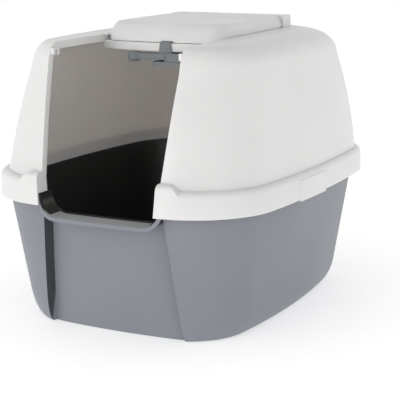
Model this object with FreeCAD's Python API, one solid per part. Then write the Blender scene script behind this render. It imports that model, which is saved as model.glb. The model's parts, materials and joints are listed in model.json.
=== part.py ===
import FreeCAD, Part
import math
import os
from FreeCAD import Vector

# Hooded cat litter box: a grey tray with a black drop-in pan, a white hood with an open
# front and roof cut-out, side clips, a hinged filter lid and a scoop on a hook.
# Millimetres, +Z up, the front looks along -Y, the origin is under the middle of the box.

# ---- Overall -------------------------------------------------------------------------------------
skirt_width = 400.0          # over the hood's skirt, the widest part
skirt_depth = 520.0          # the same, front to back
rim_z = 180.0                # top of the tray's rim
roof_z = 371.0               # roof at the middle of the box
roof_slope = 0.02            # the roof rises to the rear, mm per mm

# ---- Plan outline: four bowed sides joined by tangent corner arcs --------------------------------
side_bow = 19.0
front_bow = 16.5
corner_radius = 112.0

# ---- Walls and clearances ------------------------------------------------------------------------
hood_wall = 2.5
tray_wall = 2.5
pan_wall = 1.6
pan_gap = 0.8                # pan to tray, all round
seat_gap = 0.25              # between seated faces of different bodies
slit = 0.3                   # parting line round each side clip

# ---- Hood ----------------------------------------------------------------------------------------
skirt_overlap = 12.5         # skirt's lower edge below the rim
skirt_height = 32.5
skirt_draft = 1.2
skirt_round = 7.0
ledge_width = 9.5            # skirt face to hood wall
pillar_setback = 13.0        # skirt face to hood wall at the front
side_lean = 0.064            # hood side: lean plus a slight curve
side_curve = 0.00072
front_lean = 0.205
rear_lean = 0.10
shoulder_height = 34.0       # from wall to flat roof
shoulder_side = 36.0
shoulder_front = 12.0
shoulder_rear = 56.0
shoulder_corner_front = 45.0 # loss of corner radius over the shoulder
shoulder_corner_rear = 10.0
tab_rise = 8.0               # raised skirt beside the entrance
tab_width = 20.0
tab_ramp = 14.0
tab_inner_reach = 10.0       # tab runs this far past the entrance edge, and is cut there

# ---- Entrance and roof cut-out -------------------------------------------------------------------
entrance_low = 82.5          # half width at the skirt's lower edge
entrance_high = 94.0         # half width at the roof
flange_depth = 10.0          # inward return round the cut-out
cutout_depth = 188.0         # skirt front to the cross bar's ends
bar_height = 11.0
bar_bow = 18.0
bar_thickness = 12.0
ledge_depth = 10.0           # bar's front to the low wall on it
ledge_wall_height = 5.5
bar_below_roof = 8.0         # ledge on the bar, below the roof there

# ---- Tray ----------------------------------------------------------------------------------------
rim_width_side = 5.5
rim_width_front = 7.5
rim_width_rear = 15.0
rim_corner_less = 8.0
rim_thickness = 3.0
rim_lip = 5.2
tray_inset_front = 15.5      # skirt face to tray wall, at the rim
tray_inset_rear = 25.0
tray_inset_side = 10.0
tray_corner_less = 21.0      # corner radius below the skirt's
tray_taper_side = 0.13
tray_taper_front = 0.136
tray_round_height = 34.0     # rounding between wall and floor
tray_round_side = 15.0
tray_round_front = 7.0
tray_round_rear = 32.0
recess_depth = 15.0
recess_top = 85.5            # half width at the rim
recess_bottom = 102.7        # half width at the floor
recess_draft = 4.0
recess_front_reach = 30.0    # how far the cut for the recess runs before and behind the wall
recess_rear_reach = 60.0
sill_drop = 28.0
sill_half_width = 86.0
sill_corner = 24.0
flange_setback = 1.5         # pan flange inside the rim's edge
cheek_from = 72.0            # pan cheeks cover the sill's ends from this half width

# ---- Side clips ----------------------------------------------------------------------------------
clip_length = 84.0
clip_centre_y = -34.0
clip_drop = 2.5              # below the skirt's lower edge
clip_below_ledge = 7.5
catch_length = 50.0
catch_depth = 1.6
catch_height = 3.0
catch_clearance = 1.0        # catch to the underside of the rim's lip
catch_ramp = 2.5             # lead-in below the catch
catch_root = 0.8             # how far it runs into the clip's wall
clip_room = 1.9              # side clip's cut, inside the skirt's inner face at the clip's ends

# ---- Filter lid and its hinge --------------------------------------------------------------------
lid_half_width = 90.0
lid_height_front = 13.0
lid_height_rear = 17.0
lid_wall = 2.0
lid_above_bar = 0.6
lid_overhang = 14.0          # lid in front of the cross bar's ends
lid_front_round = 27.0
lid_side_round = 15.0
lid_corner = 24.0
lid_rear_from_skirt = 148.0  # skirt's rear face to the lid's rear
hinge_round = 5.0            # lid's rear edge, round the hinge axis
hinge_pin_radius = 2.0
hinge_running = 0.08
hinge_x = 60.0
finger_width = 10.0
finger_round = 4.2
stem_above_axis = 2.2
hinge_side_gap = 0.5
boss_width = 3.5
block_gap = 1.6
block_depth = 26.0
block_edge_round = 3.0
block_foot = 6.0             # block's walls run this far into the roof
lug_depth = 6.5              # hinge axis to the front of the lid's lugs
lug_drop = 6.0               # the same, to their underside
notch_depth = 6.0            # hinge axis to the front of the notch for a finger
notch_below = 0.8            # notch floor below the finger
lid_swing_relief = 1.3       # rear wall's foot is this much higher, to swing clear of the roof
lid_side_gap = 1.5           # lid to the edge of the roof's step
ledge_wall_from_lid = 6.0    # end of the low wall to the lid's side

# ---- Filter pocket -------------------------------------------------------------------------------
pocket_half_width = 80.0
pocket_wall = 2.5
pocket_to_hinge = 6.0
pocket_floor = 20.0          # below the roof
pocket_ledge = 4.0
grille_bar = 5.0             # solid strip along the grille's middle
grille_frame = 4.0           # grille's frame, inside the ledge
grille_thickness = 2.5
grille_slot = 3.0
grille_pitch = 8.0
pad_thickness = 8.0
pad_gap = 1.0
pad_corner = 4.0

# ---- Door clips ----------------------------------------------------------------------------------
door_pin_radius = 2.6
door_clip_length = 14.0
door_clip_height = 9.0
door_clip_width = 4.5
door_clip_round = 2.0
door_clip_overlap = 2.5      # height of its seat on the rail's flange
door_clip_mouth = 3.2
door_clip_from_front = 63.5  # skirt front to the clip's middle

# ---- Scoop ---------------------------------------------------------------------------------------
scoop_pan_length = 122.0
scoop_pan_width = 92.0
scoop_pan_height = 16.0
scoop_wall = 1.8
scoop_flange = 4.0
scoop_toe = 16.0             # floor showing past the pan, under the handle
scoop_toe_thickness = 4.6
scoop_overlap = 2.0          # floor past the pan's long walls
scoop_corner = 8.0
scoop_before_strap = 6.0     # pan's front wall to the strap
scoop_slot_inset = 12.0
scoop_strap_offset = 2.0     # strap's middle to the pan's end wall
scoop_handle_length = 46.0
scoop_handle_width = 17.5
scoop_handle_height = 12.0
scoop_neck_width = 11.0
scoop_neck_height = 8.0
scoop_handle_round = 3.0
scoop_slots = 7
scoop_slot_width = 6.0
hook_width = 15.0            # at the top of the strap
hook_foot_width = 20.0       # at its foot
hook_side_gap = 1.2          # strap to the notch in the lid
hook_foot = 3.0              # strap's foot below the top of the pan
hook_thickness = 1.4
hook_reach = 7.0             # tongue over the bar's ledge
hook_x = 10.0
scoop_below_bar = 1.5

# ---- Derived places ------------------------------------------------------------------------------
front_radius = ((skirt_width / 2) ** 2 + front_bow ** 2) / (2 * front_bow)
front_loss = front_radius - math.sqrt(front_radius ** 2 - entrance_low ** 2)
front_y = -(skirt_depth + front_loss) / 2
rear_y = (skirt_depth - front_loss) / 2
skirt_low_z = rim_z - skirt_overlap
skirt_top_z = skirt_low_z + skirt_height
skirt_round_z = skirt_top_z - skirt_round
pan_top_z = rim_z + pan_wall + seat_gap
hood_foot_z = pan_top_z + seat_gap
eaves_z = roof_z - shoulder_height
bar_y = front_y + cutout_depth
bar_front_y = bar_y - bar_bow
bar_back_y = bar_y + bar_thickness
bar_top_z = roof_z + roof_slope * bar_y - bar_below_roof
lid_front_y = bar_y - lid_overhang
lid_rear_y = rear_y - lid_rear_from_skirt
hinge_y = lid_rear_y - hinge_round
lid_top_z = roof_z + roof_slope * lid_rear_y + lid_height_rear
hinge_z = lid_top_z - hinge_round
sill_z = rim_z - sill_drop
side_radius = ((skirt_depth / 2) ** 2 + side_bow ** 2) / (2 * side_bow)
clip_end_y = abs(clip_centre_y) + clip_length / 2
clip_sag = side_radius - math.sqrt(side_radius ** 2 - clip_end_y ** 2)
clip_inner_x = skirt_width / 2 - hood_wall - clip_sag - clip_room
FAR = 2 * max(skirt_width, skirt_depth, roof_z)


# ---- Helpers -------------------------------------------------------------------------------------
def box(x0, x1, y0, y1, z0, z1):
    """Box between two corners."""
    return Part.makeBox(x1 - x0, y1 - y0, z1 - z0, Vector(x0, y0, z0))


def prism(points, direction):
    """Solid swept from a closed polygon along a vector."""
    wire = Part.makePolygon([Vector(*p) for p in points + points[:1]])
    return Part.Face(wire).extrude(Vector(*direction))


def mirrored(shape):
    """The same shape on the other side of the box."""
    return shape.mirror(Vector(0, 0, 0), Vector(1, 0, 0))


def both_sides(shape):
    """The shape and its mirror image, as one."""
    return shape.fuse(mirrored(shape))


def rod_x(radius, x0, x1, y, z):
    """Cylinder along X."""
    return Part.makeCylinder(radius, x1 - x0, Vector(x0, y, z), Vector(1, 0, 0))


def corner_points(side_r, side_x, front_r, front_y0, corner):
    """End on the side, middle and end on the front of a corner arc tangent to both, from
    the radii and centres of the side and front arcs."""
    reach_s = side_r - corner
    reach_f = front_r - corner
    gap = math.hypot(side_x, front_y0)
    along = (reach_s ** 2 - reach_f ** 2 + gap ** 2) / (2 * gap)
    rise = math.sqrt(reach_s ** 2 - along ** 2)
    ux = -side_x / gap
    uy = front_y0 / gap
    centre = Vector(side_x + along * ux - rise * uy, along * uy + rise * ux, 0)
    to_side = (centre - Vector(side_x, 0, 0)).normalize()
    to_front = (centre - Vector(0, front_y0, 0)).normalize()
    middle = (to_side + to_front).normalize()
    return (Vector(side_x, 0, 0) + to_side * side_r, centre + middle * corner,
            Vector(0, front_y0, 0) + to_front * front_r)


def outline(half_width, y_front, y_rear, z, corner, rear_corner=None, bow_x=side_bow,
            bow_y=front_bow, slope=0.0):
    """Closed plan outline: bowed sides and tangent corner arcs, tilted by slope along Y."""
    half_depth = (y_rear - y_front) / 2
    mid_y = (y_rear + y_front) / 2
    side_r = (half_depth ** 2 + bow_x ** 2) / (2 * bow_x)
    front_r = (half_width ** 2 + bow_y ** 2) / (2 * bow_y)
    sizes = (side_r, half_width - side_r, front_r, half_depth - front_r)
    near = corner_points(*sizes, corner)
    back = corner_points(*sizes, corner if rear_corner is None else rear_corner)

    def at(point, sx, sy):
        y = mid_y + sy * point.y
        return Vector(sx * point.x, y, z + slope * y)

    east = Vector(half_width, 0, 0)
    north = Vector(0, half_depth, 0)
    arcs = [
        Part.Arc(at(near[0], 1, -1), at(east, 1, 1), at(back[0], 1, 1)),
        Part.Arc(at(back[0], 1, 1), at(back[1], 1, 1), at(back[2], 1, 1)),
        Part.Arc(at(back[2], 1, 1), at(north, 1, 1), at(back[2], -1, 1)),
        Part.Arc(at(back[2], -1, 1), at(back[1], -1, 1), at(back[0], -1, 1)),
        Part.Arc(at(back[0], -1, 1), at(east, -1, 1), at(near[0], -1, -1)),
        Part.Arc(at(near[0], -1, -1), at(near[1], -1, -1), at(near[2], -1, -1)),
        Part.Arc(at(near[2], -1, -1), at(north, 1, -1), at(near[2], 1, -1)),
        Part.Arc(at(near[2], 1, -1), at(near[1], 1, -1), at(near[0], 1, -1)),
    ]
    return Part.Wire([arc.toShape() for arc in arcs])


def loft(wires):
    """Closed solid through the wires, straight from each to the next."""
    return Part.makeLoft(wires, True, True)


# ---- Hood ----------------------------------------------------------------------------------------
def hood_section(z, inset):
    """Hood wall outline at a height below the shoulder, moved inward by inset."""
    rise = max(z - skirt_top_z, 0.0)
    half = skirt_width / 2 - ledge_width - side_lean * rise - side_curve * rise ** 2
    front = front_y + pillar_setback + front_lean * rise
    rear = rear_y - ledge_width - rear_lean * rise - side_curve * rise ** 2
    return half - inset, front + inset, rear - inset, corner_radius - 10.0 - inset


def hood_loft(inset, low_z):
    """Hood volume from low_z to the roof, with its surface moved inward by inset."""
    wires = []
    step_count = 5
    for z in [low_z] + [skirt_top_z + (eaves_z - skirt_top_z) * i / step_count
                        for i in range(step_count + 1)]:
        half, front, rear, corner = hood_section(z, inset)
        tilt = roof_slope * max(z - skirt_top_z, 0.0) / (roof_z - skirt_top_z)
        wires.append(outline(half, front, rear, z, corner, slope=tilt))
    for degrees in (12, 24, 36, 48, 59, 70, 80, 90):
        turn = math.radians(degrees)
        shrink = 1.0 - math.cos(turn)
        z = eaves_z + (shoulder_height - inset) * math.sin(turn)
        half, front, rear, corner = hood_section(eaves_z, inset * math.cos(turn))
        climb = 0.5 * shoulder_height * math.sin(turn)
        wires.append(outline(
            half - (side_lean * climb) - shoulder_side * shrink,
            front + front_lean * climb + shoulder_front * shrink,
            rear - rear_lean * climb - shoulder_rear * shrink,
            z,
            corner - shoulder_corner_front * shrink,
            corner - shoulder_corner_rear * shrink,
            slope=roof_slope * (z + inset - skirt_top_z) / (roof_z - skirt_top_z),
        ))
    return loft(wires)


def skirt_outline(z, pull):
    """Skirt outline at a height, pulled inward from its drafted face."""
    inward = pull + skirt_draft * (z - skirt_low_z) / (skirt_round_z - skirt_low_z)
    return outline(skirt_width / 2 - inward, front_y + inward, rear_y - inward, z,
                   corner_radius - inward)


def skirt_loft(inset, low_z, top_z):
    """Skirt volume: drafted band with a rounded top edge."""
    round_z = top_z - inset - skirt_round
    levels = {low_z, min(round_z, skirt_round_z), round_z}
    wires = [skirt_outline(z, inset) for z in sorted(levels)]
    for degrees in (22, 45, 67, 90):
        turn = math.radians(degrees)
        wires.append(skirt_outline(round_z + skirt_round * math.sin(turn),
                                   inset + skirt_round * (1.0 - math.cos(turn))))
    return loft(wires)


def entrance_half(z):
    """Half width of the entrance at a height."""
    share = (z - skirt_low_z) / (eaves_z - skirt_low_z)
    return entrance_low + (entrance_high - entrance_low) * min(share, 1.0)


def entrance_prism(grow, back_y, low_z=-1.0):
    """Volume removed for the entrance and roof cut-out, its sides moved outward by grow."""
    low = entrance_half(low_z) + grow
    high = entrance_high + grow
    points = [(-low, front_y - 50, low_z), (low, front_y - 50, low_z),
              (high, front_y - 50, eaves_z), (high, front_y - 50, FAR),
              (-high, front_y - 50, FAR), (-high, front_y - 50, eaves_z)]
    return prism(points, (0, back_y - front_y + 50, 0))


def tab_mask(inset):
    """Front region of the skirt that is raised beside the entrance, moved inward by inset."""
    inner = entrance_low - tab_inner_reach
    full = entrance_low + tab_width - inset
    high = skirt_top_z + tab_rise - inset
    y = front_y - 20
    ogee = [(1.0, skirt_round_z), (0.7, skirt_top_z - 3.0 - inset), (0.2, high - 2.5)]
    points = [(inner, y, skirt_round_z)]
    points += [(full + share * tab_ramp, y, z) for share, z in ogee]
    points += [(full - 1.0, y, high - 0.6), (full - 4.0, y, high), (inner, y, high)]
    return both_sides(prism(points, (0, 80, 0)))


def bar_face(back, y_back):
    """Plan face between the bowed front of the cross bar, moved back, and a straight rear."""
    half = entrance_high + hood_wall / 2
    y0 = bar_y + back
    left = Vector(-half, y0, 0)
    right = Vector(half, y0, 0)
    front = Part.Arc(left, Vector(0, bar_front_y + back, 0), right).toShape()
    rest = Part.makePolygon([right, Vector(half, y_back, 0), Vector(-half, y_back, 0), left])
    return Part.Face(Part.Wire([front] + rest.Edges))


def cross_bar():
    """Bar across the rear of the roof cut-out, with a low wall standing on it under the lid."""
    bar = bar_face(0.0, bar_back_y).extrude(Vector(0, 0, bar_height))
    bar.translate(Vector(0, 0, bar_top_z - bar_height))
    wall = bar_face(ledge_depth, bar_back_y).extrude(Vector(0, 0, ledge_wall_height))
    wall = wall.cut(bar_face(ledge_depth + hood_wall, bar_back_y + 1).extrude(Vector(0, 0, FAR)))
    half = lid_half_width - lid_wall - ledge_wall_from_lid
    wall.translate(Vector(0, 0, bar_top_z))
    return bar, wall.common(box(-half, half, -FAR, FAR, 0, FAR))


def side_clip_box(grow, low_z):
    """Region of the right side clip, wider all round by grow."""
    return box(clip_inner_x - grow, skirt_width / 2 + 5,
               clip_centre_y - clip_length / 2 - grow, clip_centre_y + clip_length / 2 + grow,
               low_z, skirt_top_z - clip_below_ledge + grow)


def pocket_parts():
    """Outer and inner volumes of the filter pocket, and the opening in its floor."""
    low = roof_z - pocket_floor
    front = bar_back_y
    rear = hinge_y - pocket_to_hinge
    half = pocket_half_width + pocket_wall
    outer = box(-half, half, front - pocket_wall, rear + pocket_wall, low, roof_z + 0.5)
    inner = box(-pocket_half_width, pocket_half_width, front, rear, low + pocket_wall, FAR)
    floor = box(-pocket_half_width + pocket_ledge, pocket_half_width - pocket_ledge,
                front + pocket_ledge, rear - pocket_ledge, low - 1, roof_z)
    return outer, inner, floor


def hinge_block():
    """Raised block behind the lid, hollow from below, and the two hinge fingers."""
    front = lid_rear_y + block_gap
    back = front + block_depth
    half = lid_half_width
    low = roof_z - block_foot
    block = box(-half, half, front, back, low, lid_top_z)
    top_edges = [edge for edge in block.Edges
                 if all(abs(v.Z - lid_top_z) < 1e-6 for v in edge.Vertexes)
                 and any(v.Y > front + 1 for v in edge.Vertexes)]
    block = block.makeFillet(block_edge_round, top_edges)
    cavity = box(-half + hood_wall, half - hood_wall, front + hood_wall, back - hood_wall,
                 low - 20, lid_top_z - hood_wall)
    fingers = []
    for side in (-1, 1):
        x0 = side * hinge_x - finger_width / 2
        x1 = x0 + finger_width
        finger = rod_x(finger_round, x0, x1, hinge_y, hinge_z)
        stem = box(x0, x1, hinge_y, front + 1, hinge_z - finger_round, hinge_z + stem_above_axis)
        bore = rod_x(hinge_pin_radius + hinge_running, x0 - 1, x1 + 1, hinge_y, hinge_z)
        fingers.append(finger.fuse(stem).cut(bore))
    return block, cavity, fingers


def make_hood():
    """White hood: wall, skirt, tabs, cut-out flange, cross bar, pocket and hinge block."""
    outer = hood_loft(0.0, hood_foot_z)
    cabin = hood_loft(hood_wall, hood_foot_z - 2)
    apron_gap = skirt_loft(hood_wall, skirt_low_z - 1, skirt_top_z).cut(outer)
    skirt = skirt_loft(0.0, skirt_low_z, skirt_top_z).cut(apron_gap)
    tab = skirt_loft(0.0, skirt_low_z, skirt_top_z + tab_rise).common(tab_mask(0.0))
    tab_gap = skirt_loft(hood_wall, skirt_low_z - 1, skirt_top_z + tab_rise).common(
        tab_mask(hood_wall)).cut(outer)
    shell = outer.fuse([skirt, tab.cut(apron_gap)]).cut([cabin, apron_gap, tab_gap])
    block, block_cavity, fingers = hinge_block()
    pocket, pocket_inner, pocket_hole = pocket_parts()
    shell = shell.fuse([block.cut(cabin), pocket])
    opening = entrance_prism(0.0, bar_y)
    step_half = lid_half_width + lid_side_gap
    step = box(-step_half, step_half, lid_front_y - lid_side_gap, bar_back_y - pocket_wall, bar_top_z, FAR)
    rails = entrance_prism(hood_wall, bar_back_y).cut(entrance_prism(0.0, bar_back_y))
    flange = outer.cut(hood_loft(flange_depth, hood_foot_z - 2)).common(rails)
    tab_return = skirt_loft(0.0, hood_foot_z, skirt_top_z + tab_rise).cut(cabin).common(rails)
    tab_return = tab_return.common(box(-FAR, FAR, front_y - 1, front_y + 40, hood_foot_z, FAR))
    bar, ledge_wall = cross_bar()
    hood = shell.cut(opening).fuse([flange, tab_return]).cut(step).fuse([bar, ledge_wall])
    hood = hood.cut([pocket_inner, pocket_hole, block_cavity]).fuse(fingers)
    return hood.cut(both_sides(side_clip_box(slit, skirt_low_z - 20)))


def make_side_clip():
    """Right side clip: tongue of the skirt with a catch below the tray's rim."""
    foot_z = skirt_low_z - clip_drop
    band = skirt_loft(0.0, foot_z, skirt_top_z).cut(skirt_loft(hood_wall, foot_z - 1, skirt_top_z))
    tongue = band.common(side_clip_box(0.0, foot_z - 1))
    face_x = skirt_width / 2 - hood_wall
    high = rim_z - rim_lip - catch_clearance
    low = high - catch_height
    y = clip_centre_y - catch_length / 2
    catch = prism([(face_x - catch_depth, y, low), (face_x + catch_root, y, low - catch_ramp),
                   (face_x + catch_root, y, high), (face_x - catch_depth, y, high)],
                  (0, catch_length, 0))
    return tongue.fuse(catch)


# ---- Tray and pan --------------------------------------------------------------------------------
def tray_section(z, inset, forward=0.0):
    """Tray wall outline at a height, moved inward by inset; forward moves only the front."""
    drop = rim_z - z
    half = skirt_width / 2 - tray_inset_side - tray_taper_side * drop
    front = front_y + tray_inset_front + tray_taper_front * drop
    rear = rear_y - tray_inset_rear - tray_taper_side * drop
    return half - inset, front + inset + forward, rear - inset, corner_radius - tray_corner_less - inset


def tray_loft(inset, floor_z, top_z):
    """Tray volume with a rounded floor edge."""
    wires = []
    for degrees in (0, 12, 24, 36, 48, 62, 76, 90):
        turn = math.radians(degrees)
        shrink = 1.0 - math.sin(turn)
        z = floor_z + tray_round_height * (1.0 - math.cos(turn))
        half, front, rear, corner = tray_section(z, inset)
        wires.append(outline(half - tray_round_side * shrink, front + tray_round_front * shrink,
                             rear - tray_round_rear * shrink, z, corner - tray_round_side * shrink))
    knee_z = floor_z + tray_round_height
    for share in (0.4, 0.75, 1.0):
        z = knee_z + (top_z - knee_z) * share
        half, front, rear, corner = tray_section(z, inset)
        wires.append(outline(half, front, rear, z, corner))
    return loft(wires)


def recess_cut(inset):
    """Volume removed for the recessed front panel, grown by inset."""
    wires = []
    low = -15.0
    high = rim_z + 5.0
    spread = (recess_bottom - recess_top) / rim_z
    for back in (-recess_front_reach, recess_rear_reach):
        widen = inset - recess_draft * back / recess_depth
        points = []
        for z, sides in ((low, (-1, 1)), (high, (1, -1))):
            half = recess_top + spread * (rim_z - z) + widen
            y = front_y + tray_inset_front + tray_taper_front * (rim_z - z) + back
            points.extend(Vector(side * half, y, z) for side in sides)
        wires.append(Part.makePolygon(points + points[:1]))
    wedge = Part.makeLoft(wires, True, True)
    sections = []
    for z in (-20.0, rim_z / 2, rim_z + 10):
        half, front, rear, corner = tray_section(z, inset, recess_depth)
        sections.append(outline(half, front, rear, z, corner))
    return wedge.cut(loft(sections))


def envelope(inset, floor_z, top_z):
    """Tray volume with the recessed front, moved inward by inset."""
    return tray_loft(inset, floor_z, top_z).cut(recess_cut(inset))


def dip_face(grow, y):
    """Face of the dip over the sill, its outline moved outward by grow."""
    radius = sill_corner + grow
    half = sill_half_width + grow
    low = sill_z - grow
    high = FAR
    lean = math.cos(math.radians(45))
    flat = half - radius
    edges = [
        Part.LineSegment(Vector(-flat, y, low), Vector(flat, y, low)).toShape(),
        Part.Arc(Vector(flat, y, low), Vector(flat + radius * lean, y, low + radius * (1 - lean)),
                 Vector(half, y, low + radius)).toShape(),
        Part.LineSegment(Vector(half, y, low + radius), Vector(half, y, high)).toShape(),
        Part.LineSegment(Vector(half, y, high), Vector(-half, y, high)).toShape(),
        Part.LineSegment(Vector(-half, y, high), Vector(-half, y, low + radius)).toShape(),
        Part.Arc(Vector(-half, y, low + radius), Vector(-flat - radius * lean, y, low + radius * (1 - lean)),
                 Vector(-flat, y, low)).toShape(),
    ]
    return Part.Face(Part.Wire(edges))


def dip_prism(grow):
    """Volume above the sill line at the front of the box."""
    return dip_face(grow, front_y - 20).extrude(Vector(0, 90, 0))


def rim_plan(inset, z0, z1):
    """Plan volume of the rim's outer outline, moved inward by inset."""
    half = skirt_width / 2 - tray_inset_side + rim_width_side - inset
    front = front_y + tray_inset_front - rim_width_front + inset
    rear = rear_y - tray_inset_rear + rim_width_rear - inset
    corner = corner_radius - rim_corner_less - inset
    return Part.Face(outline(half, front, rear, z0, corner)).extrude(Vector(0, 0, z1 - z0))


def make_tray():
    """Grey tray: shell, rim with a turned-down lip, and the entry sill."""
    hollow = envelope(tray_wall, tray_wall, rim_z + 6)
    wall = envelope(0.0, 0.0, rim_z).cut(hollow)
    rim = rim_plan(0.0, rim_z - rim_thickness, rim_z)
    lip = rim_plan(0.0, rim_z - rim_lip, rim_z).cut(rim_plan(rim_thickness, rim_z - rim_lip - 1, rim_z + 1))
    level = wall.fuse([rim, lip]).cut(dip_prism(0.0))
    band = dip_prism(rim_thickness).cut(dip_prism(0.0))
    zone = rim_plan(0.0, sill_z - 20, rim_z)
    sill = zone.common(band)
    edge = dip_prism(rim_lip).cut(dip_prism(0.0)).common(
        zone.cut(rim_plan(rim_thickness, sill_z - 25, rim_z + 1)))
    return level.fuse([sill, edge]).cut(hollow)


def make_inner_pan():
    """Black pan that drops into the tray, with a flange on the rim and cheeks beside the sill."""
    outside = tray_wall + pan_gap
    body = envelope(outside, outside, pan_top_z)
    hollow = envelope(outside + pan_wall, outside + pan_wall, pan_top_z + 6)
    flange = rim_plan(flange_setback, rim_z + seat_gap, pan_top_z)
    pan = body.fuse(flange).cut([hollow, dip_prism(-pan_wall)])
    lining = dip_prism(-seat_gap).cut(dip_prism(-pan_wall))
    room = rim_plan(rim_thickness + pan_gap, sill_z, pan_top_z)
    sides = both_sides(box(cheek_from, FAR, -FAR, 0, sill_z, pan_top_z))
    cheeks = room.common(lining).common(sides).cut(hollow)
    return pan.fuse(cheeks)


# ---- Filter lid, pins, grille and pad ------------------------------------------------------------
def lid_section(depth, z, inset):
    """Lid outline at a height; depth is 0 at the lower edge and 1 at the top."""
    pull_front = lid_front_round * (1.0 - math.sqrt(max(1.0 - depth ** 2.2, 0.0)))
    pull_side = lid_side_round * (1.0 - math.sqrt(max(1.0 - depth ** 3.0, 0.0)))
    corner = lid_corner - 0.5 * pull_side - inset * 0.8
    return outline(lid_half_width - pull_side - inset, lid_front_y + pull_front + inset,
                   lid_rear_y + 40, z, corner, bow_x=2.5, bow_y=7.0)


def lid_loft(inset):
    """Lid volume before its rear edge is trimmed."""
    low = bar_top_z + lid_above_bar
    height = lid_top_z + 0.4 - low - inset
    depths = (0.0, 0.3, 0.55, 0.74, 0.87, 0.95, 1.0)
    return loft([lid_section(0.985 * depth, low + height * depth, inset) for depth in depths])


def lid_profile(inset):
    """Side-view volume of the lid: sloping top and the round rear edge about the hinge."""
    front = lid_front_y - 20
    rear = lid_rear_y - inset
    radius = hinge_round - inset
    top_front = roof_z + roof_slope * lid_front_y + lid_height_front + 4.0 - inset
    top = lid_top_z - inset
    low = bar_top_z - 5
    x = -lid_half_width - 20
    lean = radius * math.cos(math.radians(45))
    points = [Vector(x, rear, hinge_z), Vector(x, rear, low), Vector(x, front, low),
              Vector(x, front, top_front), Vector(x, hinge_y, top)]
    arc = Part.Arc(points[-1], Vector(x, hinge_y + lean, hinge_z + lean), points[0]).toShape()
    wire = Part.Wire(Part.makePolygon(points).Edges + [arc])
    return Part.Face(wire).extrude(Vector(-2 * x, 0, 0))


def roof_under_lid():
    """Volume below the roof that the lid stands on, stepped up where its rear wall swings."""
    front = bar_back_y - hood_wall
    turn_y = hinge_y - 2.0
    x = -lid_half_width - 30

    def roof(y, above):
        return (x, y, roof_z + roof_slope * y + above)

    lifted = seat_gap + lid_swing_relief
    points = [(x, front, bar_top_z - 20), (x, rear_y, bar_top_z - 20), roof(rear_y, lifted),
              roof(turn_y, lifted), roof(turn_y, seat_gap), roof(front, seat_gap)]
    return prism(points, (-2 * x, 0, 0))


def make_filter_lid():
    """White lid over the filter, with two notched hinge lugs and a notch for the hook."""
    outer = lid_loft(0.0).common(lid_profile(0.0))
    inner = lid_loft(lid_wall).common(lid_profile(lid_wall))
    below = box(-lid_half_width + lid_wall + 1, lid_half_width - lid_wall - 1, lid_front_y + 30,
                lid_rear_y - lid_wall, bar_top_z - 6, bar_top_z + 6)
    lid = outer.cut([inner, below])
    half_notch = finger_width / 2 + hinge_side_gap
    half_lug = half_notch + boss_width
    for side in (-1, 1):
        middle = side * hinge_x
        lug = box(middle - half_lug, middle + half_lug, hinge_y - lug_depth, lid_rear_y,
                  hinge_z - lug_drop, lid_top_z + 2).common(outer)
        notch = box(middle - half_notch, middle + half_notch, hinge_y - notch_depth, lid_rear_y + 2,
                    hinge_z - finger_round - notch_below, lid_top_z + 3)
        bore = rod_x(hinge_pin_radius, middle - half_lug - 1, middle + half_lug + 1, hinge_y, hinge_z)
        lid = lid.fuse(lug).cut([notch, bore])
    half_hook = hook_width / 2 + hook_side_gap
    hook_room = box(hook_x - half_hook, hook_x + half_hook, lid_front_y - 20, lid_front_y + 20,
                    bar_top_z, bar_top_z + seat_gap + hook_thickness + lid_above_bar)
    return lid.cut([roof_under_lid(), hook_room])


def make_hinge_pins():
    """Two short pins through the lid's lugs and the hood's fingers."""
    reach = finger_width / 2 + hinge_side_gap + boss_width
    pins = [rod_x(hinge_pin_radius, side * hinge_x - reach, side * hinge_x + reach, hinge_y, hinge_z)
            for side in (-1, 1)]
    return Part.makeCompound(pins)


def make_filter_grille():
    """Slotted plate on the pocket's ledge."""
    low = roof_z - pocket_floor + pocket_wall
    high = low + grille_thickness
    half = pocket_half_width - pad_gap
    front = bar_back_y + pad_gap
    rear = hinge_y - pocket_to_hinge - pad_gap
    plate = box(-half, half, front, rear, low, high)
    frame = pocket_ledge + grille_frame
    count = int((rear - front - 2 * frame) // grille_pitch) + 1
    first = (front + rear) / 2 - (count - 1) * grille_pitch / 2
    slots = []
    for i in range(count):
        y0 = first + i * grille_pitch - grille_slot / 2
        slot = box(grille_bar / 2, half - frame, y0, y0 + grille_slot, low - 1, high + 1)
        slots.extend([slot, mirrored(slot)])
    return plate.cut(slots)


def make_carbon_filter():
    """Activated-carbon pad on the grille."""
    low = roof_z - pocket_floor + pocket_wall + grille_thickness
    half = pocket_half_width - 2 * pad_gap
    rear = hinge_y - pocket_to_hinge - 2 * pad_gap
    pad = box(-half, half, bar_back_y + 2 * pad_gap, rear, low, low + pad_thickness)
    uprights = [edge for edge in pad.Edges if abs(edge.Vertexes[0].Z - edge.Vertexes[1].Z) > 1]
    return pad.makeFillet(pad_corner, uprights)


# ---- Door clips ----------------------------------------------------------------------------------
def make_door_clip():
    """Snap fork inside the left roof rail, open downward, for a swing door's pin."""
    middle = front_y + door_clip_from_front
    x0 = -entrance_high
    x1 = x0 + door_clip_width
    half = door_clip_length / 2
    top = door_clip_top()
    low = top - door_clip_height
    fork = box(x0, x1, middle - half, middle + half, low, top)
    lower = [edge for edge in fork.Edges if all(abs(v.Z - low) < 1e-6 for v in edge.Vertexes)
             and abs(edge.Vertexes[0].X - edge.Vertexes[1].X) > 1]
    fork = fork.makeFillet(door_clip_round, lower)
    bore_z = low + door_clip_height / 2
    bore = rod_x(door_pin_radius, x0 - 1, x1 + 1, middle, bore_z)
    mouth = box(x0 - 1, x1 + 1, middle - door_clip_mouth / 2, middle + door_clip_mouth / 2,
                low - 1, bore_z)
    return fork.cut([bore, mouth])


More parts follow.
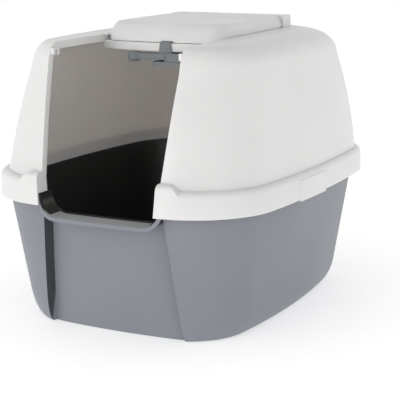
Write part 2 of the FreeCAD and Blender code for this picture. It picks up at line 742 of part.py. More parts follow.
def door_clip_top():
    """Top of the door clip, on the inner face of the roof rail's flange."""
    return roof_z + roof_slope * (front_y + door_clip_from_front) - flange_depth + door_clip_overlap


# ---- Scoop ---------------------------------------------------------------------------------------
def rounded_box(corner, *sides):
    """Box with its four upright edges rounded."""
    block = box(*sides)
    uprights = [edge for edge in block.Edges if abs(edge.Vertexes[0].Z - edge.Vertexes[1].Z) > 0.1]
    return block.makeFillet(corner, uprights)


def hook():
    """Strap up the front of the cross bar, wider at its foot, and its tongue over the ledge."""
    y1 = bar_front_y - seat_gap
    y0 = y1 - hook_thickness
    low = bar_top_z - bar_height - scoop_below_bar - hook_foot
    under = bar_top_z + seat_gap
    high = under + hook_thickness
    points = [(hook_x - hook_foot_width / 2, y0, low), (hook_x + hook_foot_width / 2, y0, low),
              (hook_x + hook_width / 2, y0, high), (hook_x - hook_width / 2, y0, high)]
    strap = prism(points, (0, hook_thickness, 0))
    tongue = box(hook_x - hook_width / 2, hook_x + hook_width / 2, y0, y1 + hook_reach, under, high)
    return strap.fuse(tongue)


def make_scoop():
    """Scoop hung flat under the cross bar: slotted pan, handle and hook strap."""
    top = bar_top_z - bar_height - scoop_below_bar
    low = top - scoop_pan_height
    inside = low + scoop_wall
    x0 = hook_x - scoop_strap_offset
    x1 = x0 + scoop_pan_length - scoop_toe
    y0 = bar_front_y - hook_thickness - scoop_before_strap
    y1 = y0 + scoop_pan_width
    floor = rounded_box(scoop_corner + 1.0, x0 - scoop_toe, x1 + scoop_flange,
                        y0 - scoop_overlap, y1 + scoop_overlap, low, low + scoop_toe_thickness)
    ring = rounded_box(scoop_corner, x0, x1, y0, y1, low, top)
    hollow = rounded_box(scoop_corner - scoop_wall, x0 + scoop_wall, x1 - scoop_wall,
                         y0 + scoop_wall, y1 - scoop_wall, inside, top + 1)
    pitch = (x1 - x0 - 2 * scoop_slot_inset) / scoop_slots
    slots = []
    for i in range(scoop_slots):
        left = x0 + scoop_slot_inset + (i + 0.5) * pitch - scoop_slot_width / 2
        slots.append(box(left, left + scoop_slot_width, y0 + scoop_slot_inset,
                         y1 - scoop_slot_inset, low - 1, inside + 1))
    pan = ring.fuse(floor).cut([hollow] + slots)
    handle_x = x0 - scoop_handle_length
    handle_y = y0 + scoop_handle_width / 2
    neck = box(handle_x, x0 + 2, handle_y - scoop_neck_width / 2, handle_y + scoop_neck_width / 2,
               top - scoop_neck_height - 1, top - 1)
    bulb = Part.makeCylinder(scoop_handle_width / 2, scoop_handle_height,
                             Vector(handle_x, handle_y, top - scoop_handle_height))
    bulb = bulb.makeFillet(scoop_handle_round, [edge for edge in bulb.Edges if len(edge.Vertexes) == 1])
    return pan.fuse([neck, bulb, hook()])


# ---- Export --------------------------------------------------------------------------------------
def export(name, shape):
    """Write one piece to its own STEP file."""
    solids = shape.removeSplitter().Solids
    solid = solids[0] if len(solids) == 1 else Part.makeCompound(solids)
    solid.exportStep("parts/" + name + ".step")
    print(name, "solids", len(solids), "volume", round(solid.Volume), "valid", solid.isValid())


os.makedirs("parts", exist_ok=True)
clip = make_side_clip()
door_clip = make_door_clip()
export("tray", make_tray())
export("inner_pan", make_inner_pan())
export("hood", make_hood())
export("side_clip_right", clip)
export("side_clip_left", mirrored(clip))
export("door_clip_left", door_clip)
export("door_clip_right", mirrored(door_clip))
export("filter_lid", make_filter_lid())
export("lid_hinge_pins", make_hinge_pins())
export("filter_grille", make_filter_grille())
export("carbon_filter", make_carbon_filter())
export("scoop", make_scoop())
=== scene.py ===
import json
import logging
import math
from dataclasses import dataclass, field
from enum import Enum

import bmesh
import bpy
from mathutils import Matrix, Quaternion, Vector, noise

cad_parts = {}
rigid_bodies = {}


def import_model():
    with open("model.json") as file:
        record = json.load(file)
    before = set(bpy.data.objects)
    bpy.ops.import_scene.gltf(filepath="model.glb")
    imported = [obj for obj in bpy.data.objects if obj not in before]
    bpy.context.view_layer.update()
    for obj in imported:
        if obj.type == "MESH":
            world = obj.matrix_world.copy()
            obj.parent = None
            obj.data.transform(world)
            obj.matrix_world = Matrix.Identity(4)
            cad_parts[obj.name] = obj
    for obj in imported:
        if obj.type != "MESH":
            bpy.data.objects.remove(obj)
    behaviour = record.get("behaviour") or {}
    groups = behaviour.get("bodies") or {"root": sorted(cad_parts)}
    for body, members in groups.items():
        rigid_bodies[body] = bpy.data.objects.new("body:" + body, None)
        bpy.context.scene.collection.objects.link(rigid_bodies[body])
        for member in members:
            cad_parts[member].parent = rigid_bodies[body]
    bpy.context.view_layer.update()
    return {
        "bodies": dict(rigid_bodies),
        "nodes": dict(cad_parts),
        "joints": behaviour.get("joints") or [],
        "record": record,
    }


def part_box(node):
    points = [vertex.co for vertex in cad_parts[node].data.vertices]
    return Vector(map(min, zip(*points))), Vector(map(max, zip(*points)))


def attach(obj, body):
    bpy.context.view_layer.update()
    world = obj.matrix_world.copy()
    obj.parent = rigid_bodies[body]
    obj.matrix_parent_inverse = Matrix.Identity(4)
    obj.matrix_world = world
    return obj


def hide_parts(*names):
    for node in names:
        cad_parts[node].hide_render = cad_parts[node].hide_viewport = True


log = logging.getLogger("litter_box")
Colour = tuple[float, float, float]
Triple = tuple[float, float, float]
MM = 0.001
UP: Triple = (0.0, 0.0, 1.0)
DOWN: Triple = (0.0, 0.0, -1.0)
SIDEWAYS: Triple = (1.0, 0.0, 0.0)
PLAIN: Colour = (1.0, 1.0, 1.0)


# ---- Node trees --------------------------------------------------------------------------------
class Value:
    """A number socket that takes part in Python arithmetic, adding Math nodes as it goes."""

    def __init__(self, graph: "Graph", socket: bpy.types.NodeSocket) -> None:
        """Wraps a socket.

        Args:
            graph: the node tree that the socket belongs to.
            socket: an output socket that carries a number.
        """
        self.graph = graph
        self.socket = socket

    def _math(self, operation: str, *terms: "Value | float") -> "Value":
        """Adds one Math node.

        Args:
            operation: the node's operation.
            terms: its inputs, in order.

        Returns:
            The node's result.
        """
        made = self.graph.node("ShaderNodeMath", {"operation": operation}, dict(enumerate(terms)))
        return Value(self.graph, made.outputs[0])

    def __add__(self, other: "Value | float") -> "Value":
        """self + other."""
        return self._math("ADD", self, other)

    def __radd__(self, other: float) -> "Value":
        """other + self."""
        return self._math("ADD", other, self)

    def __sub__(self, other: "Value | float") -> "Value":
        """self - other."""
        return self._math("SUBTRACT", self, other)

    def __rsub__(self, other: float) -> "Value":
        """other - self."""
        return self._math("SUBTRACT", other, self)

    def __mul__(self, other: "Value | float") -> "Value":
        """self * other."""
        return self._math("MULTIPLY", self, other)

    def __rmul__(self, other: float) -> "Value":
        """other * self."""
        return self._math("MULTIPLY", other, self)

    def step(self, low: float, high: float) -> "Value":
        """A smooth step: 0 below low, 1 above high, or falling where low is the larger."""
        made = self.graph.node("ShaderNodeMapRange", {"interpolation_type": "SMOOTHSTEP"},
                               {0: self, 1: low, 2: high, 3: 0.0, 4: 1.0})
        return Value(self.graph, made.outputs[0])


class Graph:
    """A node tree of any kind and the calls that fill it."""

    def __init__(self, tree: bpy.types.NodeTree) -> None:
        """Takes the tree that the nodes go into."""
        self.tree = tree

    def feed(self, socket: bpy.types.NodeSocket, value: object) -> None:
        """Links a socket, or sets it where value is a plain number, colour or vector."""
        if isinstance(value, Value):
            value = value.socket
        if isinstance(value, bpy.types.NodeSocket):
            self.tree.links.new(value, socket)
        elif isinstance(value, tuple) and len(value) == 3 and socket.type == "RGBA":
            socket.default_value = (*value, 1.0)
        else:
            socket.default_value = value

    def node(self, kind: str, settings: dict | None = None,
             sockets: dict | None = None) -> bpy.types.Node:
        """Adds any node.

        Args:
            kind: the node's type.
            settings: its properties, which are set first.
            sockets: values or links by socket name or number.

        Returns:
            The new node.
        """
        made = self.tree.nodes.new(kind)
        for name, setting in (settings or {}).items():
            setattr(made, name, setting)
        for key, value in (sockets or {}).items():
            self.feed(made.inputs[key], value)
        return made


class Shader(Graph):
    """One material's node tree, with the noises, masks and normals that finishes are made of."""

    def __init__(self, name: str) -> None:
        """Starts a material with a Principled surface.

        Args:
            name: the material's name.
        """
        self.material = bpy.data.materials.new(name)
        self.material.use_nodes = True
        super().__init__(self.material.node_tree)
        self.surface = self.tree.nodes["Principled BSDF"]
        self.place = self.node("ShaderNodeTexCoord").outputs["Object"]

    def stretched(self, size: Triple) -> bpy.types.NodeSocket:
        """The place on the surface, each axis multiplied by its own number."""
        made = self.node("ShaderNodeVectorMath", {"operation": "MULTIPLY"},
                         {0: self.place, 1: size})
        return made.outputs[0]

    def cloud(self, per_metre: float, detail: float = 2.0, rough: float = 0.5,
              place: bpy.types.NodeSocket | None = None) -> Value:
        """Noise about the middle value 0.5.

        Args:
            per_metre: lumps to the metre.
            detail: octaves.
            rough: how strong the finer octaves are.
            place: the coordinates, if not the plain ones.

        Returns:
            The noise, from 0 to 1.
        """
        made = self.node("ShaderNodeTexNoise", None,
                         {"Vector": place or self.place, "Scale": per_metre,
                          "Detail": detail, "Roughness": rough})
        return Value(self, made.outputs[0])

    def mix(self, share: Value | float, first: object, second: object) -> bpy.types.NodeSocket:
        """Mixes two colours.

        Args:
            share: how much of the second.
            first: a colour or a link.
            second: a colour or a link.

        Returns:
            The mixed colour.
        """
        made = self.node("ShaderNodeMix", {"data_type": "RGBA"}, {0: share, 6: first, 7: second})
        return made.outputs[2]

    def _dot(self, first: object, second: object) -> Value:
        """The dot product of two vectors."""
        made = self.node("ShaderNodeVectorMath", {"operation": "DOT_PRODUCT"},
                         {0: first, 1: second})
        return Value(self, made.outputs["Value"])

    def facing(self, direction: Triple) -> Value:
        """How far the surface faces a direction, from -1 to 1."""
        return self._dot(self.node("ShaderNodeNewGeometry").outputs["Normal"], direction)

    def axis(self, number: int) -> Value:
        """One coordinate in metres: 0 for X, 1 for Y, 2 for Z."""
        split = self.node("ShaderNodeSeparateXYZ", None, {0: self.place})
        return Value(self, split.outputs[number])

    def rounded(self, radius: float) -> bpy.types.NodeSocket:
        """Normals that turn smoothly over each edge within a radius."""
        return self.node("ShaderNodeBevel", {"samples": 4}, {"Radius": radius}).outputs[0]

    def edges(self, radius: float) -> Value:
        """1 along the edges and 0 on open faces, from how far the rounded normals turn."""
        sharp = self.node("ShaderNodeNewGeometry").outputs["Normal"]
        flat, turned = 0.995, 0.86
        return self._dot(self.rounded(radius), sharp).step(flat, turned)

    def relief(self, height: Value, distance: float, strength: float = 1.0,
               base: bpy.types.NodeSocket | None = None) -> bpy.types.NodeSocket:
        """Turns a height into normals.

        Args:
            height: 0 to 1.
            distance: metres that a height of 1 stands for.
            strength: share of the effect.
            base: the normals that it adds to.

        Returns:
            The new normals.
        """
        sockets = {"Strength": strength, "Distance": distance, "Height": height}
        if base is not None:
            sockets["Normal"] = base
        return self.node("ShaderNodeBump", None, sockets).outputs[0]

    def finish(self, **sockets: object) -> bpy.types.Material:
        """Feeds the surface, with _ for a space in each socket's name, and returns the material."""
        for name, value in sockets.items():
            self.feed(self.surface.inputs[name.replace("_", " ")], value)
        return self.material


# ---- Finishes ----------------------------------------------------------------------------------
class Wear(Enum):
    """How much use shows on a moulding."""

    FRESH = 0.35
    HANDLED = 0.7
    SCRAPED = 1.0


@dataclass(frozen=True)
class PaintedLightAndShade:
    """Painted shade in the tray's recess and under its lip, and a painted highlight on its sill."""

    # The first colour is painted shade and the second a painted highlight.
    colour: Colour
    sill_highlight: Colour
    half_width: float = 0.108
    front: float = -0.205
    lip: float = 0.140
    fade: float = 0.004
    # share of the painted shade under the lip
    lip_shade_share: float = 0.8
    # share of the painted highlight on the sill
    sill_highlight_share: float = 0.9

    def _in_front(self, shader: Shader) -> Value:
        """1 on the tray's front and 0 behind it."""
        return shader.axis(1).step(self.front, self.front - self.fade)

    def _at_lip(self, shader: Shader) -> Value:
        """1 from the lip upward and 0 below it."""
        return shader.axis(2).step(self.lip, self.lip + self.fade)

    def _painted_shade(self, shader: Shader) -> Value:
        """Painted shade: 1 on the recess's side walls and the lip's underside, and 0 elsewhere."""
        along, sideways = shader.axis(0), shader.facing(SIDEWAYS)
        inside = (along * along).step(self.half_width ** 2, (self.half_width - self.fade) ** 2)
        walls = (sideways * sideways).step(0.30, 0.65) * inside
        lip_shade = shader.facing(DOWN).step(0.4, 0.8) * self._at_lip(shader)
        return (walls + lip_shade * self.lip_shade_share) * self._in_front(shader)

    def _painted_sill_highlight(self, shader: Shader) -> Value:
        """Painted highlight: 1 on top of the entry sill, and 0 elsewhere."""
        top = shader.facing(UP).step(0.6, 0.9)
        return top * self._in_front(shader) * self._at_lip(shader)

    def over(self, shader: Shader, tint: bpy.types.NodeSocket) -> bpy.types.NodeSocket:
        """Lays the painted shade and the painted highlight over a colour.

        Args:
            shader: the tray's shader.
            tint: the colour below them.

        Returns:
            The shaded colour.
        """
        # painted shade first, then the painted highlight on the sill
        tint = shader.mix(self._painted_shade(shader), tint, self.colour)
        return shader.mix(self._painted_sill_highlight(shader) * self.sill_highlight_share, tint, self.sill_highlight)


@dataclass(frozen=True)
class Moulding:
    """Injection-moulded plastic: spark-eroded grain, shade drift, fine scratches and dust.

    The numbers that end in per_metre are noise scales, and the shares say how much of each
    effect reaches the colour.
    """

    name: str
    colour: Colour
    drift: Colour
    worn: Colour
    dust: Colour
    roughness: float
    grain_mm: float = 0.45
    grain_deep_mm: float = 0.02
    edge_mm: float = 0.7
    wear: Wear = Wear.FRESH
    coat: float = 0.0
    glow: float = 0.0
    # optional painted shade and painted highlight laid over the colour
    shade: PaintedLightAndShade | None = None
    patch_per_metre: float = 9.0
    speck_per_metre: float = 600.0
    swell_per_metre: float = 11.0
    rub_per_metre: float = 160.0
    dust_per_metre: float = 70.0
    long_scratch: Triple = (900.0, 60.0, 45.0)
    cross_scratch: Triple = (50.0, 70.0, 1100.0)
    speck_share: float = 0.25
    rub_share: float = 0.55
    mark_share: float = 0.25
    dust_share: float = 0.3
    rub_reach: float = 1.6
    swell_deep_mm: float = 0.5
    mark_deep_mm: float = 0.015
    rough_drift: float = 0.10
    rough_worn: float = 0.12
    rub_gloss: float = 0.08
    glow_reach_mm: float = 5.0
    glow_tint: Colour = (1.0, 0.88, 0.78)

    def _marks(self, shader: Shader, patches: Value) -> Value:
        """Fine scratches, gathered in patches: 1 in a scratch."""
        along = shader.cloud(1.0, 2.0, 0.6, shader.stretched(self.long_scratch)).step(0.66, 0.74)
        across = shader.cloud(1.0, 2.0, 0.6, shader.stretched(self.cross_scratch)).step(0.67, 0.75)
        return (along + across) * self.wear.value * patches.step(0.35, 0.65)

    def _rub(self, shader: Shader) -> Value:
        """Edges worn by handling: 1 where the wear shows."""
        edges = shader.edges(self.rub_reach * self.edge_mm * MM)
        return edges * shader.cloud(self.rub_per_metre, 3.0).step(0.42, 0.7) * self.wear.value

    def _settled(self, shader: Shader) -> Value:
        """Dust on the faces that look up: 1 where it lies."""
        level = shader.facing(UP).step(0.35, 0.95)
        return level * shader.cloud(self.dust_per_metre, 4.0, 0.7).step(0.35, 0.8)

    def _relief(self, shader: Shader, marks: Value) -> bpy.types.NodeSocket:
        """Normals with soft edges, a slow swell, the grain and the scratches."""
        swell = shader.cloud(self.swell_per_metre, 1.0)
        grain = shader.cloud(1.0 / (self.grain_mm * MM), 2.0, 0.6)
        normal = shader.rounded(self.edge_mm * MM)
        normal = shader.relief(swell, self.swell_deep_mm * MM, 0.35, normal)
        normal = shader.relief(grain, self.grain_deep_mm * MM, 0.8, normal)
        return shader.relief(1.0 - marks, self.mark_deep_mm * MM, 0.6, normal)

    def material(self) -> bpy.types.Material:
        """Builds the node material."""
        shader = Shader(self.name)
        patches = shader.cloud(self.patch_per_metre, 3.0)
        specks = shader.cloud(self.speck_per_metre, 2.0).step(0.55, 0.8)
        marks = self._marks(shader, patches)
        rub = self._rub(shader)
        settled = self._settled(shader)
        tint = shader.mix(patches.step(0.3, 0.7), self.colour, self.drift)
        tint = shader.mix(specks * self.speck_share, tint, self.drift)
        tint = shader.mix(rub * self.rub_share + marks * self.mark_share, tint, self.worn)
        tint = shader.mix(settled * self.dust_share, tint, self.dust)
        # Painted shade and a painted highlight, where the moulding has them.
        if self.shade is not None:
            tint = self.shade.over(shader, tint)
        rough = self.roughness + (patches - 0.5) * self.rough_drift
        rough = rough + marks * self.rough_worn + settled * self.rough_worn - rub * self.rub_gloss
        return shader.finish(
            Base_Color=tint, Roughness=rough, Normal=self._relief(shader, marks), IOR=1.49,
            Coat_Weight=self.coat, Coat_Roughness=0.25, Subsurface_Weight=self.glow,
            Subsurface_Scale=self.glow_reach_mm * MM, Subsurface_Radius=self.glow_tint)


@dataclass(frozen=True)
class DrawnSteel:
    """Cold-drawn steel wire with fine lines along it."""

    name: str = "drawn_steel"
    colour: Colour = (0.56, 0.56, 0.55)
    tarnish: Colour = (0.40, 0.38, 0.35)
    draw_lines: Triple = (60.0, 5000.0, 5000.0)
    line_deep_mm: float = 0.01
    edge_mm: float = 0.2

    def material(self) -> bpy.types.Material:
        """Builds the node material."""
        shader = Shader(self.name)
        lines = shader.cloud(1.0, 3.0, 0.6, shader.stretched(self.draw_lines))
        stain = shader.cloud(300.0, 3.0).step(0.45, 0.75)
        normal = shader.relief(lines, self.line_deep_mm * MM, 0.7,
                               shader.rounded(self.edge_mm * MM))
        return shader.finish(Base_Color=shader.mix(stain, self.colour, self.tarnish),
                             Metallic=1.0, Roughness=0.28 + lines * 0.2, Normal=normal)


@dataclass(frozen=True)
class CarbonFelt:
    """Needled felt filled with activated carbon: short fibres, needle pits and grey lint."""

    name: str = "carbon_felt"
    colour: Colour = (0.012, 0.012, 0.013)
    lint: Colour = (0.075, 0.075, 0.078)
    pit: Colour = (0.004, 0.004, 0.004)
    along: Triple = (5200.0, 900.0, 2600.0)
    across: Triple = (800.0, 4800.0, 2600.0)
    needles_per_metre: float = 420.0
    fibre_deep_mm: float = 0.25
    pit_deep_mm: float = 0.35

    def material(self) -> bpy.types.Material:
        """Builds the node material."""
        shader = Shader(self.name)
        first, second = (shader.cloud(1.0, 4.0, 0.7, shader.stretched(way))
                         for way in (self.along, self.across))
        fibres = (first + second) * 0.5
        needles = shader.node("ShaderNodeTexVoronoi", {"feature": "F1"},
                              {"Vector": shader.place, "Scale": self.needles_per_metre})
        pits = Value(shader, needles.outputs["Distance"]).step(0.28, 0.08)
        tint = shader.mix(fibres.step(0.52, 0.70), self.colour, self.lint)
        tint = shader.mix(pits, tint, self.pit)
        normal = shader.relief(fibres, self.fibre_deep_mm * MM, 0.9)
        normal = shader.relief(1.0 - pits, self.pit_deep_mm * MM, 0.8, normal)
        return shader.finish(Base_Color=tint, Roughness=0.93 - fibres * 0.1, Normal=normal,
                             Sheen_Weight=0.35, Sheen_Roughness=0.6)


WHITE = Moulding(
    "white_polypropylene", (0.775, 0.772, 0.765), (0.755, 0.752, 0.745), (0.86, 0.86, 0.86),
    (0.70, 0.695, 0.68), 0.36, coat=0.12, glow=0.55)
CLIP_WHITE = Moulding(
    "white_clip", (0.77, 0.77, 0.765), (0.745, 0.745, 0.74), (0.86, 0.86, 0.86),
    (0.70, 0.695, 0.68), 0.40, edge_mm=0.5, wear=Wear.HANDLED)
# The grey tray carries painted shade in its recess and under its lip, and a painted highlight on
# its sill.
GREY = Moulding(
    "blue_grey_polypropylene", (0.226, 0.239, 0.268), (0.214, 0.227, 0.257), (0.36, 0.37, 0.40),
    (0.32, 0.32, 0.33), 0.47, grain_mm=0.6, grain_deep_mm=0.035, edge_mm=0.8,
    wear=Wear.HANDLED, shade=PaintedLightAndShade((0.045, 0.050, 0.056), (0.43, 0.44, 0.46)))
# The pan's near-black is painted shade: it stands in for the deep shadow inside the tray.
PAN_PAINTED_SHADE = Moulding(
    "painted_shade_pan", (0.0135, 0.0142, 0.0138), (0.0160, 0.0166, 0.0162), (0.040, 0.040, 0.040),
    (0.036, 0.035, 0.034), 0.42, grain_mm=0.8, edge_mm=0.6, wear=Wear.SCRAPED)
SCOOP_GREY = Moulding(
    "slate_scoop", (0.185, 0.206, 0.220), (0.170, 0.190, 0.204), (0.29, 0.31, 0.32),
    (0.22, 0.22, 0.22), 0.40, edge_mm=0.5, wear=Wear.SCRAPED)
GRILLE = Moulding(
    "grille_white", (0.70, 0.70, 0.69), (0.67, 0.67, 0.66), (0.80, 0.80, 0.80),
    (0.55, 0.54, 0.52), 0.50, edge_mm=0.4, wear=Wear.HANDLED)


# ---- Pieces ------------------------------------------------------------------------------------
class Smoother:
    """A modifier that welds a CAD mesh and shades it smooth up to an edge angle."""

    def __init__(self, name: str = "smooth_shading", degrees: float = 27.0,
                 weld_mm: float = 0.002) -> None:
        """Builds the node group.

        Args:
            name: the group's name.
            degrees: sharper edges than this stay sharp.
            weld_mm: points nearer than this become one.
        """
        self.group = bpy.data.node_groups.new(name, "GeometryNodeTree")
        for side in ("INPUT", "OUTPUT"):
            self.group.interface.new_socket("Geometry", in_out=side,
                                            socket_type="NodeSocketGeometry")
        graph = Graph(self.group)
        weld = graph.node("GeometryNodeMergeByDistance", None, {
            0: graph.node("NodeGroupInput").outputs[0], "Distance": weld_mm * MM})
        angle = graph.node("GeometryNodeInputMeshEdgeAngle").outputs["Unsigned Angle"]
        sharp = graph.node("FunctionNodeCompare", None, {0: angle, 1: math.radians(degrees)})
        shade = graph.node("GeometryNodeSetMeshNormal", None, {
            "Mesh": weld.outputs[0], "Remove Custom": True, "Edge Sharpness": sharp.outputs[0]})
        graph.node("NodeGroupOutput", None, {0: shade.outputs[0]})

    def on(self, piece: bpy.types.Object) -> None:
        """Adds the modifier to a piece."""
        piece.modifiers.new("smooth", "NODES").node_group = self.group


@dataclass
class Assembly:
    """A group of CAD nodes and the finish that each of them gets."""

    frame: dict
    smoother: Smoother
    dressing: dict[str, object] = field(default_factory=dict)

    def dress(self) -> None:
        """Gives each CAD node its material and smooth shading."""
        for node, finish in self.dressing.items():
            piece = self.frame["nodes"][node]
            piece.data.materials.clear()
            piece.data.materials.append(finish.material())
            self.smoother.on(piece)
            log.info("%s: %s", node, finish.name)

    def build(self) -> None:
        """Makes the assembly's own meshes, if it has any."""


@dataclass
class Base(Assembly):
    """The tray on the floor and the pan inside it, whose near-black is painted shade."""

    dressing: dict[str, object] = field(default_factory=lambda: {"tray": GREY, "inner_pan": PAN_PAINTED_SHADE})


@dataclass
class Hood(Assembly):
    """The hood with its clips, and the filter in its roof pocket."""

    corner: float = 4.0 * MM
    soft_edge: float = 1.4 * MM
    edge_reach: float = 2.2
    puff: float = 0.35 * MM
    puff_share: float = 0.6
    lumps_per_metre: tuple[float, float] = (90.0, 320.0)
    cell: float = 2.5 * MM
    fill: float = 0.9
    dressing: dict[str, object] = field(default_factory=lambda: {
        "hood": WHITE, "side_clip_right": CLIP_WHITE, "side_clip_left": CLIP_WHITE,
        "door_clip_left": CLIP_WHITE, "door_clip_right": CLIP_WHITE, "filter_grille": GRILLE})

    def build(self) -> None:
        """Makes the felt pad in the place of its CAD solid."""
        low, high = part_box("carbon_filter")
        pad = self._felt(low, high)
        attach(pad, "hood")
        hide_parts("carbon_filter")
        log.info("%s: %d faces", pad.name, len(pad.data.polygons))

    def _felt(self, low: Vector, high: Vector) -> bpy.types.Object:
        """Models a cut felt pad with soft edges and an uneven face.

        Args:
            low: lowest corner of the room for it.
            high: highest corner of the room for it.

        Returns:
            The pad.
        """
        middle, half = (low + high) / 2, (high - low) / 2
        columns, rows = (int(2 * size / self.cell) for size in half.xy)
        mesh = bmesh.new()
        sheets = []
        span = rows + 1
        for side in (-1, 1):
            sheet = [mesh.verts.new(self._felt_point(middle, half, 2 * i / columns - 1,
                                                     2 * j / rows - 1, side))
                     for i in range(columns + 1) for j in range(span)]
            sheets.append(sheet)
            for i in range(columns):
                for j in range(rows):
                    around = ((i, j), (i + 1, j), (i + 1, j + 1), (i, j + 1))
                    corners = [sheet[a * span + b] for a, b in around]
                    mesh.faces.new(corners if side > 0 else corners[::-1])
        bottom, top = sheets
        ring = [i * span for i in range(columns)] + [columns * span + j for j in range(rows)]
        ring += [i * span + rows for i in range(columns, 0, -1)] + list(range(rows, 0, -1))
        for here, after in zip(ring, ring[1:] + ring[:1]):
            mesh.faces.new((bottom[here], bottom[after], top[after], top[here]))
        data = bpy.data.meshes.new("carbon_pad")
        mesh.to_mesh(data)
        mesh.free()
        data.shade_smooth()
        pad = bpy.data.objects.new("carbon_pad", data)
        bpy.context.scene.collection.objects.link(pad)
        data.materials.append(CarbonFelt().material())
        return pad

    def _felt_point(self, middle: Vector, half: Vector, u: float, v: float,
                    side: int) -> Vector:
        """A point on the pad's top or bottom.

        Args:
            middle: the pad's centre.
            half: half its sizes.
            u: -1 to 1 along X.
            v: -1 to 1 along Y.
            side: 1 for the top, -1 for the bottom.

        Returns:
            The point, in metres.
        """
        x, y = u * half.x, v * half.y
        over_x, over_y = abs(x) - (half.x - self.corner), abs(y) - (half.y - self.corner)
        if over_x > 0 and over_y > 0:
            pull = max(math.hypot(over_x, over_y) / self.corner, 1.0)
            x = math.copysign(half.x - self.corner + over_x / pull, x)
            y = math.copysign(half.y - self.corner + over_y / pull, y)
        rim = min(half.x - abs(x), half.y - abs(y))
        drop = self.soft_edge * max(1.0 - rim / (self.edge_reach * self.soft_edge), 0.0) ** 2
        coarse, fine = (noise.noise(Vector((x, y, side)) * per_metre)
                        for per_metre in self.lumps_per_metre)
        uneven = self.puff * (coarse + 0.5 * fine)
        z = half.z - drop
        if side > 0:
            z = z - self.puff - max(uneven, -self.puff) * self.puff_share
        return middle + Vector((x, y, side * min(z, half.z)))


@dataclass
class Lid(Assembly):
    """The filter lid with its two hinge pins."""

    dressing: dict[str, object] = field(default_factory=lambda: {
        "filter_lid": WHITE, "lid_hinge_pins": DrawnSteel()})


@dataclass
class Scoop(Assembly):
    """The scoop on the cross bar."""

    dressing: dict[str, object] = field(default_factory=lambda: {"scoop": SCOOP_GREY})


# ---- Studio ------------------------------------------------------------------------------------
@dataclass(frozen=True)
class Lamp:
    """A soft area lamp."""

    name: str
    place: Triple
    size: float
    power: float
    tint: Colour = PLAIN
    aim: Triple = (0.0, 0.0, 0.18)

    def build(self) -> None:
        """Sets the lamp up and aims it."""
        data = bpy.data.lights.new(self.name, "AREA")
        data.shape, data.size, data.energy, data.color = "DISK", self.size, self.power, self.tint
        lamp = bpy.data.objects.new(self.name, data)
        bpy.context.scene.collection.objects.link(lamp)
        lamp.location = self.place
        lamp.rotation_mode = "QUATERNION"
        lamp.rotation_quaternion = (Vector(self.aim) - lamp.location).to_track_quat("-Z", "Y")


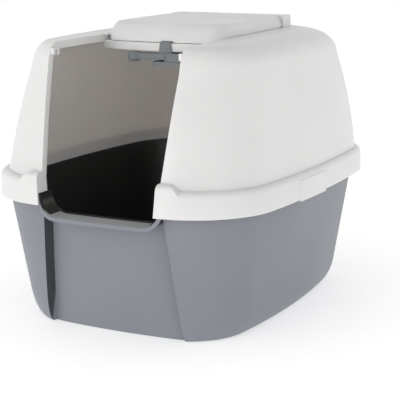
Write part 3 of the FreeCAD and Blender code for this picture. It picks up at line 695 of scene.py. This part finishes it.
@dataclass
class Studio:
    """A pale floor, a bright surround, soft lamps and the camera.

    The surround fades to the zenith's brightness between the two heights of the horizon. The
    lamp in the cabin stands in for the light that the thin white hood lets through.
    """

    eye: Triple = (0.775704, -1.493742, 0.485149)
    target: Triple = (0.01931, -0.01014, 0.13802)
    roll: float = 0.08
    lens: float = 109.32
    sensor_mm: float = 36.0
    board: Colour = (0.93, 0.93, 0.93)
    board_drift: Colour = (0.91, 0.91, 0.91)
    floor_radius: float = 9.0
    floor_drop_mm: float = 0.2
    floor_glow: float = 0.42
    fibre_deep_mm: float = 0.05
    surround: float = 1.0
    zenith: float = 0.50
    horizon: tuple[float, float] = (0.25, 0.85)
    lamps: tuple[Lamp, ...] = (
        Lamp("key", (-1.6, -2.4, 1.5), 1.6, 4.5, (1.0, 0.99, 0.97)),
        Lamp("front", (-0.55, -2.6, 0.60), 0.9, 8.0, (1.0, 0.97, 0.95)),
        Lamp("cabin", (0.13, 0.0, 0.25), 0.14, 0.12, (1.0, 0.94, 0.90), (-0.17, 0.02, 0.25)),
        Lamp("fill", (2.4, -1.4, 1.0), 1.8, 1.5, (0.97, 0.98, 1.0)),
    )

    def build(self) -> None:
        """Makes everything in the studio."""
        self._floor()
        self._world()
        for lamp in self.lamps:
            lamp.build()
        self._camera()
        bpy.context.scene.view_settings.view_transform = "Standard"
        log.info("studio: %d lamps", len(self.lamps))

    def _floor(self) -> None:
        """A large round sheet of pale matt board."""
        mesh = bmesh.new()
        bmesh.ops.create_circle(mesh, cap_ends=True, radius=self.floor_radius, segments=96)
        data = bpy.data.meshes.new("floor")
        mesh.to_mesh(data)
        mesh.free()
        floor = bpy.data.objects.new("floor", data)
        bpy.context.scene.collection.objects.link(floor)
        floor.location.z = -self.floor_drop_mm * MM
        shader = Shader("pale_board")
        fibre = shader.cloud(900.0, 3.0, 0.6)
        cloudy = shader.cloud(3.0, 2.0)
        tint = shader.mix(cloudy.step(0.3, 0.7), self.board, self.board_drift)
        normal = shader.relief(fibre, self.fibre_deep_mm * MM, 0.4)
        data.materials.append(shader.finish(
            Base_Color=tint, Roughness=0.80 + fibre * 0.1, Normal=normal, Emission_Color=PLAIN,
            Emission_Strength=self.floor_glow, Specular_IOR_Level=0.2))

    def _world(self) -> None:
        """Light from all round, bright at the horizon and dimmer overhead."""
        world = bpy.data.worlds.new("surround")
        bpy.context.scene.world = world
        world.use_nodes = True
        graph = Graph(world.node_tree)
        around = graph.node("ShaderNodeTexCoord").outputs["Generated"]
        height = graph.node("ShaderNodeSeparateXYZ", None, {0: around}).outputs[2]
        low, high = self.horizon
        strength = graph.node("ShaderNodeMapRange", {"interpolation_type": "SMOOTHSTEP"},
                              {0: height, 1: low, 2: high, 3: self.surround, 4: self.zenith})
        light = graph.tree.nodes["Background"]
        graph.feed(light.inputs["Strength"], strength.outputs[0])
        graph.feed(light.inputs["Color"], PLAIN)

    def _camera(self) -> None:
        """The camera, set as the scene's."""
        data = bpy.data.cameras.new("camera")
        data.lens, data.sensor_width = self.lens, self.sensor_mm
        data.clip_start, data.clip_end = 0.05, 60.0
        camera = bpy.data.objects.new("camera", data)
        bpy.context.scene.collection.objects.link(camera)
        look = Vector(self.target) - Vector(self.eye)
        camera.location = self.eye
        camera.rotation_mode = "QUATERNION"
        roll = Quaternion(UP, math.radians(self.roll))
        camera.rotation_quaternion = look.to_track_quat("-Z", "Y") @ roll
        bpy.context.scene.camera = camera


def main() -> None:
    """Builds the box in order."""
    logging.basicConfig(level=logging.INFO, format="%(message)s")
    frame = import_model()
    smoother = Smoother()
    Studio().build()
    for part in (Base, Hood, Lid, Scoop):
        assembly = part(frame, smoother)
        assembly.build()
        assembly.dress()


if __name__ == "__main__":
    main()
